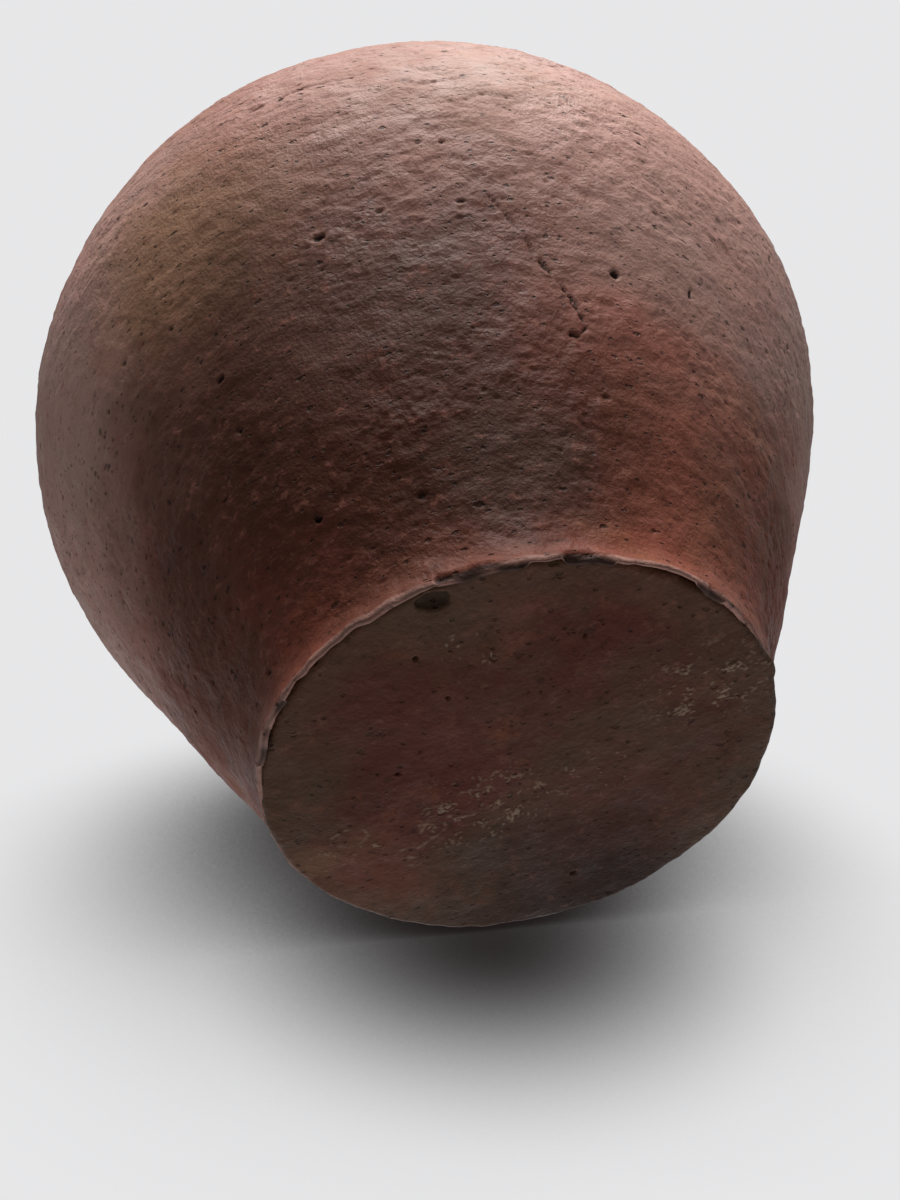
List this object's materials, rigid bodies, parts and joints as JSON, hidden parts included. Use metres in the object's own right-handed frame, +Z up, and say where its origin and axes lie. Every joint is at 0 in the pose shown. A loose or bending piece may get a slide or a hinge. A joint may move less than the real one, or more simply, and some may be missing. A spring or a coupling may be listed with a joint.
{
  "type": "amphora",
  "caption": "Globular handled earthenware jar on a flat base, with a short neck and a rolled rim, for storing and pouring liquids or dry goods.",
  "frame": {"origin": "centre of the flat underside that the jar stands on", "axes": "+Z up the jar's axis, from the base to the mouth; +X towards the right-hand handle, -X towards the left-hand one; -Y is the side the reference picture's camera is on"},
  "size_m": [0.28, 0.28, 0.338],
  "materials": {
    "body_clay": "unglazed red-brown earthenware, matte, pitted and wiped along the throwing direction",
    "base_clay": "unglazed grey-brown earthenware, matte, wiped, with chalky flecks",
    "luting_clay": "unglazed red-brown earthenware, finger-smoothed, matte"
  },
  "bodies": {
    "root": {"base_slab": "base_clay", "lower_wall": "body_clay", "shoulder_wall": "body_clay", "neck_collar": "body_clay", "rim": "body_clay", "handle_right": "body_clay", "handle_left": "body_clay", "handle_right_pad": "luting_clay", "handle_left_pad": "luting_clay", "base_seam_coil": "luting_clay", "belly_seam_coil": "luting_clay", "neck_seam_coil": "luting_clay"}
  },
  "joints": []
}
